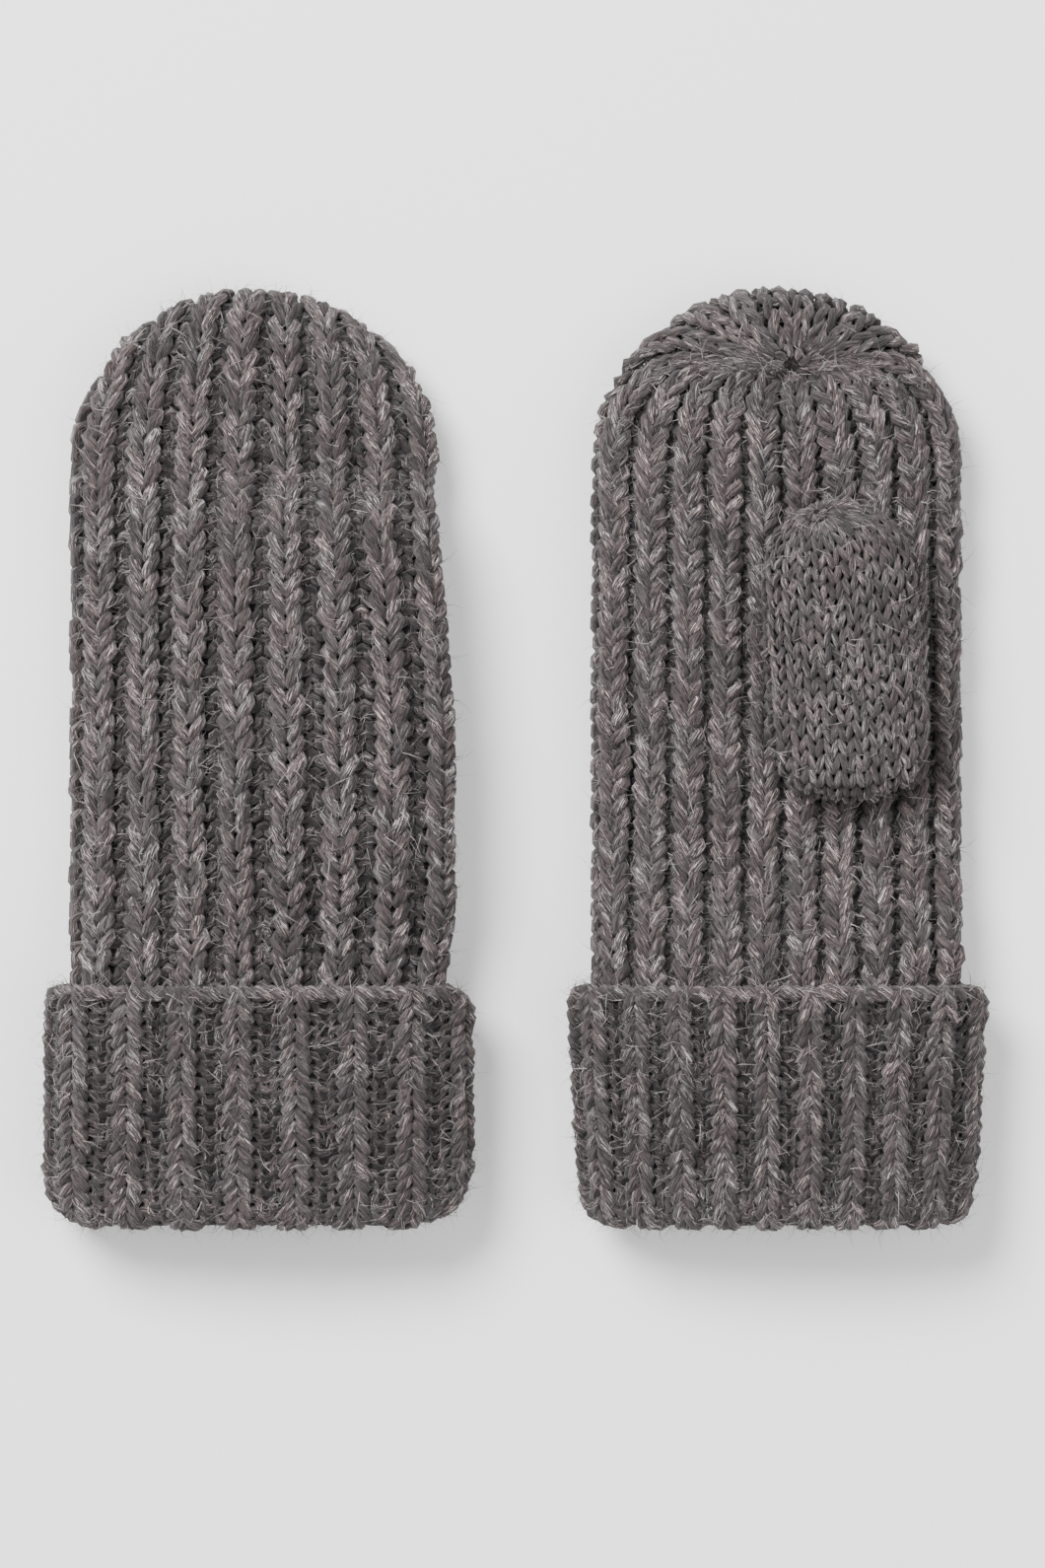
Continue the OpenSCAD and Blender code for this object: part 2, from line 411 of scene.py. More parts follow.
    def even_turns(self, half_w: float, half_t: float) -> np.ndarray:
        """Angles that step evenly by length round a flattened section.

        Args:
            half_w: Half the section's width.
            half_t: Half its thickness.

        Returns:
            One angle for each sample round.
        """
        fine = np.linspace(0, 2 * np.pi, 4001)
        x = squared_off(np.cos(fine), self.power) * half_w
        z = squared_off(np.sin(fine), self.power) * half_t
        run = np.concatenate([[0.0], np.cumsum(np.hypot(np.diff(x), np.diff(z)))])
        return np.interp(np.arange(self.around) / self.around * run[-1], run, fine)

    def hand_surface(self) -> KnitSurface:
        """Mid-surface of the hand from the wrist's fold to the crown's gather."""
        grow = -self.fabric / 2
        w, t = self.half_w + grow, self.half_t + grow
        turn = self.even_turns(w, t)[:, None]
        y = np.linspace(self.wrist_end_y, self.knuckle_y, 160)[None, :]
        tube = self.section(turn + 0 * y, y + 0 * turn, grow)
        length = self.tip_y - self.knuckle_y + grow
        across, before = self.crown_gather
        pole = self._pole(across / w, (self.tip_y - before - self.knuckle_y) / length)
        way = self._ways(turn, pole, 0.995)
        cap = self._cap(way, w, t, length, self.crown_blunt)
        cap += np.array([self.centre_x, self.knuckle_y, self.middle])
        return KnitSurface(np.concatenate([tube, cap], axis=1), self._from_axis)

    @staticmethod
    def _ways(turn: np.ndarray, pole: np.ndarray, reach: float) -> np.ndarray:
        """Directions along wales that first run straight on, then bend to a gather.

        Args:
            turn: Angle at which each wale leaves the rim.
            pole: Direction of the gather.
            reach: Share of the way at which the wales stop.

        Returns:
            Unit directions of shape (wales, steps, 3).
        """
        share = np.linspace(0, reach, 140)[None, 1:] + 0 * turn
        rim = np.stack([np.cos(turn), 0 * turn, np.sin(turn)], axis=-1)
        start = np.repeat(rim, share.shape[1], axis=1)
        tip = np.array([0.0, 1.0, 0.0])
        aim = slerp(np.broadcast_to(tip, start.shape), pole, smooth(share))
        angle = np.arccos(np.clip(np.sum(start * aim, axis=-1), -1.0, 1.0))[..., None]
        s = share[..., None]
        return (np.sin((1 - s) * angle) * start + np.sin(s * angle) * aim) / np.sin(angle)

    def _pole(self, x_share: float, y_share: float) -> np.ndarray:
        """Unit direction of a gather seen from the cap's centre, on the palm's side.

        Args:
            x_share: Its place across, as a share of the cap's half width.
            y_share: Its place along, as a share of the cap's length.

        Returns:
            The direction.
        """
        rest = math.sqrt(1 - y_share**2)
        flat = abs(x_share / rest) ** (self.power / 2) * math.copysign(1, x_share)
        upright = math.sqrt(1 - flat**2) * self.side.value
        return np.array([rest * flat, y_share, rest * upright])

    def _cap(self, way: np.ndarray, w: float, t: float, length: float, blunt: float) -> np.ndarray:
        """Points of a rounded closed end in unit directions from its centre.

        Args:
            way: Unit directions.
            w: Half the end's width.
            t: Half its thickness.
            length: Its length.
            blunt: Power that shapes how its thickness falls; lower is blunter.

        Returns:
            Points with their coordinates on the last axis.
        """
        ring = np.hypot(way[..., 0], way[..., 2]) + 1e-9
        x = w * ring * squared_off(way[..., 0] / ring, self.power)
        z = t * ring**blunt * squared_off(way[..., 2] / ring, self.power)
        return np.stack([x, length * way[..., 1], z], axis=-1)

    def _from_axis(self, points: np.ndarray) -> np.ndarray:
        """Directions away from the middle of each ring of points."""
        return points - points.mean(axis=0)

    def cuff_surface(self) -> KnitSurface:
        """Mid-surface of the turned-up cuff, from its cast-on edge to inside the fold."""
        turn = self.even_turns(self.half_w, self.half_t)[:, None]
        out = self.gap + self.fabric / 2
        radius = out - self.gap / 2
        fold_y = self.wrist_end_y - self.gap
        straight = np.linspace(self.edge_y - 1.0 * MM, fold_y, 60)
        bend = np.linspace(0, np.pi, 40)[1:]
        y = np.concatenate([straight, fold_y - radius * np.sin(bend)])[None, :]
        centre = self.gap / 2
        grow = np.concatenate([0 * straight + out, centre + radius * np.cos(bend)])[None, :]
        return KnitSurface(self.section(turn + 0 * y, y + 0 * turn, grow), self._from_axis)

    def thumb_surface(self) -> KnitSurface:
        """Mid-surface of the thumb, from the hole in the palm to its tip's gather."""
        inset = self.thumb_fabric / 2
        w, t = self.thumb_half_w - inset, self.thumb_half_t - inset
        up = self.side.value
        turn = self.even_turns(w, t)[:, None]
        u = squared_off(np.cos(turn), self.power)
        v = squared_off(np.sin(turn), self.power) * up
        heel = self.heel_round
        start = -self.thumb_heel + inset + (1 - v) / 2 * self.heel_slope
        swing = np.linspace(0, np.pi / 2, 30)[None, :]
        rise = np.sin(swing)
        pinch = 1 - self.heel_pinch * (1 - rise)
        base = np.stack(np.broadcast_arrays(
            u * w * pinch, start + heel * (1 - np.cos(swing)), up * (-t + t * (1 + v) * rise)
        ), axis=-1)
        straight = self.thumb_reach - self.thumb_tip
        share = np.linspace(0, 1, 90)[None, 1:]
        y = start + heel + (straight - start - heel) * share
        tube = np.stack(np.broadcast_arrays(u * w, y, up * v * t), axis=-1)
        length = self.thumb_tip - inset
        across, before = self.thumb_gather
        pole = self._pole(across / w, (self.thumb_reach - before - straight) / length)
        cap = self._cap(self._ways(turn, pole, 0.99), w, t, length, self.thumb_blunt)
        cap += np.array([0, straight, 0])
        flat = np.concatenate([base, tube, cap], axis=1)
        return KnitSurface(self.at_thumb(flat), self._from_axis)

    def at_thumb(self, points: np.ndarray) -> np.ndarray:
        """Move points from the thumb's own frame to its place on the mitten.

        Args:
            points: Points with their coordinates on the last axis.

        Returns:
            The moved points.
        """
        c, s = math.cos(self.thumb_lean), math.sin(self.thumb_lean)
        x = points[..., 0] * c - points[..., 1] * s
        y = points[..., 0] * s + points[..., 1] * c
        return np.stack([x, y, points[..., 2]], axis=-1) + self.thumb_at


# ---------------------------------------------------------------- finishes


class Wire:
    """A shader socket that takes part in Python arithmetic."""

    def __init__(self, desk: "ShaderDesk", socket: bpy.types.NodeSocket) -> None:
        """Keep the desk that makes nodes and the socket that carries the value."""
        self.desk = desk
        self.socket = socket

    def _with(self, operation: str, *others: "Wire | float") -> "Wire":
        """Put this value and others through one Math node."""
        values = {k: v for k, v in enumerate((self, *others))}
        return self.desk.node("ShaderNodeMath", {"operation": operation}, values)

    def __add__(self, other: "Wire | float") -> "Wire":
        """Sum."""
        return self._with("ADD", other)

    __radd__ = __add__

    def __sub__(self, other: "Wire | float") -> "Wire":
        """Difference."""
        return self._with("SUBTRACT", other)

    def __rsub__(self, other: float) -> "Wire":
        """A number less this value."""
        return self.desk.node("ShaderNodeMath", {"operation": "SUBTRACT"}, {0: other, 1: self})

    def __mul__(self, other: "Wire | float") -> "Wire":
        """Product."""
        return self._with("MULTIPLY", other)

    __rmul__ = __mul__

    def eased(self, low: float, high: float) -> "Wire":
        """Rise smoothly from 0 at low to 1 at high."""
        return self.desk.node(
            "ShaderNodeMapRange", {"interpolation_type": "SMOOTHSTEP"},
            {"Value": self, "From Min": low, "From Max": high},
        )


class ShaderDesk:
    """Makes the nodes of one material."""

    def __init__(self, name: str) -> None:
        """Start an empty material."""
        self.material = bpy.data.materials.new(name)
        self.material.use_nodes = True
        self.tree = self.material.node_tree
        self.tree.nodes.clear()

    def node(self, kind: str, settings: dict | None = None, sockets: dict | None = None,
             output: str | int = 0) -> Wire:
        """Make one node.

        Args:
            kind: The node's type.
            settings: Properties to set first; "stops" sets a ramp's stops.
            sockets: Values or wires for its inputs, by name or number.
            output: The output to hand back.

        Returns:
            The chosen output as a wire.
        """
        made = self.tree.nodes.new(kind)
        for key, value in (settings or {}).items():
            if key == "stops":
                ramp = made.color_ramp
                while len(ramp.elements) < len(value):
                    ramp.elements.new(0.5)
                for element, (at, colour) in zip(ramp.elements, value):
                    element.position = at
                    element.color = (*colour, 1.0)
            else:
                setattr(made, key, value)
        for key, value in (sockets or {}).items():
            if isinstance(value, Wire):
                self.tree.links.new(value.socket, made.inputs[key])
            elif value is not None:
                made.inputs[key].default_value = value
        return Wire(self, made.outputs[output] if made.outputs else None)

    def vector(self, x: Wire | float, y: Wire | float, z: Wire | float) -> Wire:
        """Join three values into a vector."""
        return self.node("ShaderNodeCombineXYZ", None, {0: x, 1: y, 2: z})

    def noise(self, place: Wire, scale: float, detail: float = 2.0, rough: float = 0.5) -> Wire:
        """Noise from 0 to 1 at a place."""
        return self.node("ShaderNodeTexNoise", {"noise_dimensions": "3D"}, {
            "Vector": place, "Scale": scale, "Detail": detail, "Roughness": rough,
        })

    def carried(self, name: str, output: str = "Fac") -> Wire:
        """A value that the mesh carries."""
        return self.node("ShaderNodeAttribute", {"attribute_name": name}, output=output)

    def bump(self, height: Wire, distance: float, strength: float = 1.0) -> Wire:
        """A normal that is raised by a height."""
        return self.node("ShaderNodeBump", None, {
            "Strength": strength, "Distance": distance, "Height": height,
        })

    def mixed(self, share: Wire | float, first: Wire | Sequence[float],
              second: Wire | Sequence[float], blend: str = "MIX") -> Wire:
        """Mix two colours.

        Args:
            share: How much of the second colour shows.
            first: The first colour.
            second: The second colour.
            blend: The way they mix.

        Returns:
            The mixed colour.
        """
        made = self.tree.nodes.new("ShaderNodeMix")
        made.data_type = "RGBA"
        made.blend_type = blend
        for key, value in ((0, share), (6, first), (7, second)):
            if isinstance(value, Wire):
                self.tree.links.new(value.socket, made.inputs[key])
            else:
                made.inputs[key].default_value = value if key == 0 else (*value, 1.0)
        return Wire(self, made.outputs[2])

    def finish(self, **surface: Wire | float | Sequence[float]) -> bpy.types.Material:
        """Send a Principled shader to the material's output.

        Args:
            surface: Its sockets, with spaces written as underscores.

        Returns:
            The finished material.
        """
        sockets = {key.replace("_", " "): value for key, value in surface.items()}
        shader = self.node("ShaderNodeBsdfPrincipled", None, sockets)
        self.node("ShaderNodeOutputMaterial", None, {"Surface": shader})
        return self.material


@dataclass(frozen=True)
class WoolYarn:
    """Heathered grey wool yarn, its fibres drawn along each strand."""

    name: str
    deep: tuple[float, float, float] = (0.0035, 0.0028, 0.0029)
    body: tuple[float, float, float] = (0.036, 0.0282, 0.0292)
    light: tuple[float, float, float] = (0.122, 0.099, 0.100)
    fleck: tuple[float, float, float] = (0.74, 0.68, 0.66)
    warm: tuple[float, float, float] = (1.06, 0.975, 0.965)
    cool: tuple[float, float, float] = (0.97, 1.0, 1.02)
    fibre_run: float = 190.0
    fibre_across: float = 6.5
    twist: float = 90.0
    roughness: float = 0.85
    relief: float = 0.5 * MM

    def build(self) -> bpy.types.Material:
        """Make the material."""
        desk = ShaderDesk(self.name)
        along, tone = desk.carried("along"), desk.carried("tone")
        ring = desk.carried("ring", "Vector")
        turned = desk.node(
            "ShaderNodeVectorRotate", {"rotation_type": "Z_AXIS"},
            {"Vector": ring, "Angle": along * self.twist},
        )
        x = desk.node("ShaderNodeSeparateXYZ", None, {0: turned})
        y = Wire(desk, x.socket.node.outputs[1])
        spot = desk.node("ShaderNodeTexCoord", output="Object")
        place = desk.vector(along * self.fibre_run, x * self.fibre_across,
                            y * self.fibre_across)
        fibres = desk.noise(place, 1.0, 2.0, 0.6)
        hairs = desk.noise(place, 2.6, 1.0, 0.5)
        strands = desk.noise(place, 1.7, 1.0, 0.5)
        heather = desk.noise(desk.vector(along * 42.0, x * 0.5, y * 0.5), 1.0, 2.0, 0.6)
        patches = desk.noise(spot, 95.0, 2.0, 0.6)
        streaks = fibres * 0.55 + hairs * 0.45
        base = desk.node(
            "ShaderNodeValToRGB",
            {"stops": ((0.41, self.deep), (0.49, self.body), (0.57, self.light))},
            {"Fac": streaks},
        )
        light = strands.eased(0.61, 0.68) * heather.eased(0.42, 0.60)
        flecked = desk.mixed(light * 0.85, base, self.fleck)
        tint = desk.mixed(patches.eased(0.36, 0.64), self.warm, self.cool)
        coloured = desk.mixed(1.0, flecked, tint, "MULTIPLY")
        # tone is the stitch's random tone with painted shade from the knitter in it.
        gain = (0.62 + heather.eased(0.3, 0.7) * 0.62) * tone
        toned = desk.mixed(1.0, coloured, gain, "MULTIPLY")
        return desk.finish(
            Base_Color=toned, Roughness=self.roughness,
            Normal=desk.bump(fibres + hairs * 0.6, self.relief),
            Sheen_Weight=0.12, Sheen_Roughness=0.5, Specular_IOR_Level=0.25,
        )


@dataclass(frozen=True)
class WoolFibre:
    """Loose single fibres that stand off the yarn."""

    name: str = "loose_fibre"
    dark: tuple[float, float, float] = (0.020, 0.017, 0.017)
    light: tuple[float, float, float] = (0.42, 0.385, 0.375)

    def build(self) -> bpy.types.Material:
        """Make the material."""
        desk = ShaderDesk(self.name)
        share = desk.carried("fibre_tone").eased(0.15, 1.0)
        colour = desk.mixed(share, self.dark, self.light)
        return desk.finish(Base_Color=colour, Roughness=0.7, Specular_IOR_Level=0.25)


@dataclass(frozen=True)
class FeltedCore:
    """A near-black sheet in the middle of the fabric, deep between the loops: painted shade where
    the gaps between loops fall into shadow.
    """

    name: str = "felted_core"
    # Near-black colours: painted shade deep between the loops.
    dark: tuple[float, float, float] = (0.004, 0.0032, 0.0034)
    light: tuple[float, float, float] = (0.026, 0.0215, 0.0225)

    def build(self) -> bpy.types.Material:
        """Make the material."""
        desk = ShaderDesk(self.name)
        spot = desk.node("ShaderNodeTexCoord", output="Object")
        fluff = desk.noise(spot, 900.0, 3.0, 0.7)
        colour = desk.mixed(fluff.eased(0.35, 0.7), self.dark, self.light)
        bump = desk.bump(fluff, 0.4 * MM, 0.8)
        return desk.finish(Base_Color=colour, Roughness=0.95, Normal=bump,
                           Specular_IOR_Level=0.1)


# ---------------------------------------------------------------- geometry nodes


class NodeWorks:
    """Builds one Geometry Nodes tree and turns its result into a plain mesh."""

    def __init__(self, name: str, inputs: dict[str, str]) -> None:
        """Start a tree with a geometry input, named inputs and a geometry output.

        Args:
            name: The tree's name.
            inputs: Socket type of each further input, by name.
        """
        self.tree = bpy.data.node_groups.new(name, "GeometryNodeTree")
        face = self.tree.interface
        face.new_socket("Geometry", in_out="INPUT", socket_type="NodeSocketGeometry")
        for key, kind in inputs.items():
            face.new_socket(key, in_out="INPUT", socket_type=kind)
        face.new_socket("Geometry", in_out="OUTPUT", socket_type="NodeSocketGeometry")
        self.start = self.tree.nodes.new("NodeGroupInput")
        self.end = self.tree.nodes.new("NodeGroupOutput")

    def node(self, kind: str, settings: dict | None = None, sockets: dict | None = None,
             output: str | int = 0) -> bpy.types.NodeSocket:
        """Make one node.

        Args:
            kind: The node's type.
            settings: Properties to set first.
            sockets: Values or sockets for its inputs, by name or number.
            output: The output to hand back.

        Returns:
            The chosen output.
        """
        made = self.tree.nodes.new(kind)
        for key, value in (settings or {}).items():
            setattr(made, key, value)
        for key, value in (sockets or {}).items():
            if isinstance(value, bpy.types.NodeSocket):
                self.tree.links.new(value, made.inputs[key])
            else:
                made.inputs[key].default_value = value
        return made.outputs[output]

    def given(self, name: str) -> bpy.types.NodeSocket:
        """One of the tree's own inputs."""
        return self.start.outputs[name]

    def carried(self, name: str) -> bpy.types.NodeSocket:
        """A number that the geometry carries."""
        return self.node("GeometryNodeInputNamedAttribute", {"data_type": "FLOAT"},
                         {"Name": name})

    def stored(self, geometry: bpy.types.NodeSocket, name: str, value: bpy.types.NodeSocket,
               kind: str = "FLOAT") -> bpy.types.NodeSocket:
        """Geometry that carries a value at each of its points."""
        return self.node(
            "GeometryNodeStoreNamedAttribute", {"data_type": kind, "domain": "POINT"},
            {"Geometry": geometry, "Name": name, "Value": value},
        )

    def maths(self, operation: str, first: bpy.types.NodeSocket,
              second: bpy.types.NodeSocket) -> bpy.types.NodeSocket:
        """One Math node on two values."""
        return self.node("ShaderNodeMath", {"operation": operation}, {0: first, 1: second})

    def close(self, geometry: bpy.types.NodeSocket, material: bpy.types.NodeSocket) -> None:
        """End the tree in Realize Instances and Set Material.

        Args:
            geometry: What the tree has made.
            material: The material that it gets.
        """
        real = self.node("GeometryNodeRealizeInstances", None, {"Geometry": geometry})
        dressed = self.node("GeometryNodeSetMaterial", None,
                            {"Geometry": real, "Material": material})
        self.tree.links.new(dressed, self.end.inputs[0])

    def run(self, source: bpy.types.Object, values: dict[str, object]) -> bpy.types.Mesh:
        """Apply the tree to an object.

        Args:
            source: The object that carries the tree's geometry; it is used up.
            values: Value of each named input.

        Returns:
            The result as a plain mesh.
        """
        modifier = source.modifiers.new("works", "NODES")
        modifier.node_group = self.tree
        for item in self.tree.interface.items_tree:
            if item.in_out == "INPUT" and item.name in values:
                modifier[item.identifier] = values[item.name]
        source.update_tag()
        graph = bpy.context.evaluated_depsgraph_get()
        made = bpy.data.meshes.new_from_object(
            source.evaluated_get(graph), preserve_all_data_layers=True, depsgraph=graph
        )
        source.modifiers.remove(modifier)
        mesh = source.data
        bpy.data.objects.remove(source)
        bpy.data.meshes.remove(mesh)
        return made


class YarnSweep(NodeWorks):
    """Sweeps a round yarn along edges that carry its radius and tone."""

    def __init__(self) -> None:
        """Build the tree."""
        super().__init__("yarn_sweep", {"Sides": "NodeSocketInt", "Wool": "NodeSocketMaterial"})
        line = self.node("GeometryNodeMeshToCurve", None, {"Mesh": self.given("Geometry")})
        length = self.node("GeometryNodeSplineParameter", None, None, "Length")
        line = self.stored(line, "along", self.maths("ADD", length, self.carried("phase")))
        circle = self.node("GeometryNodeCurvePrimitiveCircle", None,
                           {"Resolution": self.given("Sides"), "Radius": 1.0})
        spot = self.node("GeometryNodeInputPosition")
        circle = self.stored(circle, "ring", spot, "FLOAT_VECTOR")
        swept = self.node("GeometryNodeCurveToMesh", None, {
            "Curve": line, "Profile Curve": circle, "Scale": self.carried("thick"),
            "Fill Caps": True,
        })
        soft = self.node("GeometryNodeSetShadeSmooth", None, {"Geometry": swept})
        self.close(soft, self.given("Wool"))


class LooseFibres(NodeWorks):
    """Scatters short curved fibres over the upper and outer faces of a mesh."""

    lowest_facing: ClassVar[float] = -0.25

    def __init__(self) -> None:
        """Build the tree."""
        super().__init__("loose_fibres", {
            "Density": "NodeSocketFloat", "Length": "NodeSocketFloat",
            "Thickness": "NodeSocketFloat", "Seed": "NodeSocketInt",
            "Wool": "NodeSocketMaterial",
        })
        facing = self.node("GeometryNodeInputNormal")
        height = self.node("ShaderNodeSeparateXYZ", None, {0: facing}, "Z")
        upward = self.node(
            "FunctionNodeCompare", {"data_type": "FLOAT", "operation": "GREATER_THAN"},
            {0: height, 1: self.lowest_facing},
        )
        points = self.node("GeometryNodeDistributePointsOnFaces", None, {
            "Mesh": self.given("Geometry"), "Selection": upward,
            "Density": self.given("Density"), "Seed": self.given("Seed"),
        }, "Points")
        turn = points.node.outputs["Rotation"]
        tone = self.node("FunctionNodeRandomValue", {"data_type": "FLOAT"}, {"Seed": 5}, 1)
        points = self.stored(points, "fibre_tone", tone)
        spin = self.node(
            "FunctionNodeRandomValue", {"data_type": "FLOAT_VECTOR"},
            {0: (-0.5, -0.5, 0.0), 1: (0.5, 0.5, 2 * math.pi), "Seed": 7},
        )
        turn = self.node(
            "FunctionNodeRotateRotation", {"rotation_space": "LOCAL"},
            {"Rotation": turn, "Rotate By": spin},
        )
        size = self.node(
            "FunctionNodeRandomValue", {"data_type": "FLOAT"}, {2: 0.45, 3: 1.2, "Seed": 9}, 1
        )
        size = self.maths("MULTIPLY", size, self.given("Length"))
        laid = self.node(
            "GeometryNodeInstanceOnPoints", None,
            {"Points": points, "Instance": self._fibre(), "Rotation": turn, "Scale": size},
        )
        self.close(laid, self.given("Wool"))

    def _fibre(self) -> bpy.types.NodeSocket:
        """One curved fibre of unit length that narrows to a point."""
        arc = self.node("GeometryNodeCurvePrimitiveBezierSegment", None, {
            "Resolution": 2, "Start": (0, 0, -0.05), "Start Handle": (0.05, 0, 0.22),
            "End Handle": (0.45, 0.12, 0.36), "End": (0.98, 0.26, 0.20),
        })
        share = self.node("GeometryNodeSplineParameter", None, None, "Factor")
        taper = self.node(
            "ShaderNodeMapRange", None,
            {"Value": share, "From Min": 0.4, "From Max": 1.0, "To Min": 1.0, "To Max": 0.15},
        )
        width = self.maths("MULTIPLY", taper, self.given("Thickness"))
        rim = self.node("GeometryNodeCurvePrimitiveCircle", None,
                        {"Resolution": 3, "Radius": 1.0})
        return self.node("GeometryNodeCurveToMesh", None,
                         {"Curve": arc, "Profile Curve": rim, "Scale": width})


# ---------------------------------------------------------------- knitting


@dataclass(frozen=True)
class Gauge:
    """How a fabric is knitted: its loops, its yarn and how it is drawn.

    yarn is a radius. depth and purl_depth are half the height of a loop's
    legs, ridge stands a knit wale up, and sink lays the whole rib down.
    overlap is a loop's height in courses, lean and purl_lean how far its legs
    slant, and swell how much thicker they are than its head. relief_at and
    relief flatten the fabric by place along the mitten. dimple and dimple_reach
    draw it in round the gather. The shade fields darken the yarn's tone as
    painted shade: round the gather, where its legs dive into the fabric and
    over the purl wales.
    """

    courses: int
    yarn: float = 1.8 * MM
    depth: float = 1.25 * MM
    purl_depth: float = 1.1 * MM
    ridge: float = 0.8 * MM
    sink: float = 1.2 * MM
    swell: float = 0.24
    overlap: float = 1.75
    lean: float = 0.27
    purl_lean: float = 0.12
    samples: int = 12
    sides: int = 6
    shade: float = 1.0
    # Painted shade: these two darken the yarn where its legs dive into the fabric and over the
    # recessed purl wales.
    hollow: float = 0.50
    purl_shade: float = 0.15
    relief_at: tuple[float, ...] = (-1.0, 1.0)
    relief: tuple[float, ...] = (1.0, 1.0)
    dimple: float = 0.0
    # Painted shade in the crease round the gather.
    gather_shade: float = 0.0
    dimple_reach: float = 15.0 * MM
    uneven_height: float = 0.06
    uneven_lean: float = 0.09
    uneven_width: float = 0.05
    uneven_rise: float = 0.12
    uneven_yarn: float = 0.08
    uneven_tone: float = 0.20


@dataclass(frozen=True)
class Wales:
    """The wales round a fabric: where each starts, how wide it is and its stitch."""

    start: np.ndarray
    pitch: np.ndarray
    share: np.ndarray
    stitch: np.ndarray
    closed_share: ClassVar[float] = 0.92

    @classmethod
    def ribbed(cls, side: Side, knit: tuple[float, float]) -> "Wales":
        """One by one rib: ten ribs across the palm and eight across the back.

        Args:
            side: The mitten, whose palm or back comes first.
            knit: Share of a rib's width taken by its knit wale, on palm and back.

        Returns:
            The wales.
        """
        palm, back = (10, knit[0]), (8, knit[1])
        halves = (palm, back) if side is Side.RIGHT else (back, palm)
        rows = [
            (0.5 * half + 0.5 * k / count, 0.5 / count, share, kind.value)
            for half, (count, share) in enumerate(halves)
            for k in range(count)
            for kind in (Stitch.KNIT, Stitch.PURL)
        ]
        return cls(*np.array(rows, dtype=float).T)

    @classmethod
    def plain(cls, count: int) -> "Wales":
        """Plain knitting: every wale the same.

        Args:
            count: How many wales there are.

        Returns:
            The wales.
        """
        start = np.arange(count) / count
        return cls(start, np.full(count, 1 / count), np.ones(count), np.ones(count))

    @property
    def all_knit(self) -> bool:
        """Whether there is no purl wale."""
        return bool(np.all(self.stitch > 0))

    def spans(self, closing: np.ndarray, which: slice) -> tuple[np.ndarray, np.ndarray]:
        """Where wales start and how wide they are, as the purl wales close.

        Args:
            closing: 0 in the full rib and 1 where the purl wales are narrowest.
            which: The wales wanted.

        Returns:
            Start and width of each wale, in turns round the fabric.
        """
        share, pitch, start = (v[which][None, :, None]
                               for v in (self.share, self.pitch, self.start))
        if self.all_knit:
            return start + 0 * closing, pitch + 0 * closing
        knit = share + (self.closed_share - share) * closing
        purl = self.stitch[which][None, :, None] < 0
        return start + np.where(purl, pitch * knit, 0.0), pitch * np.where(purl, 1 - knit, knit)


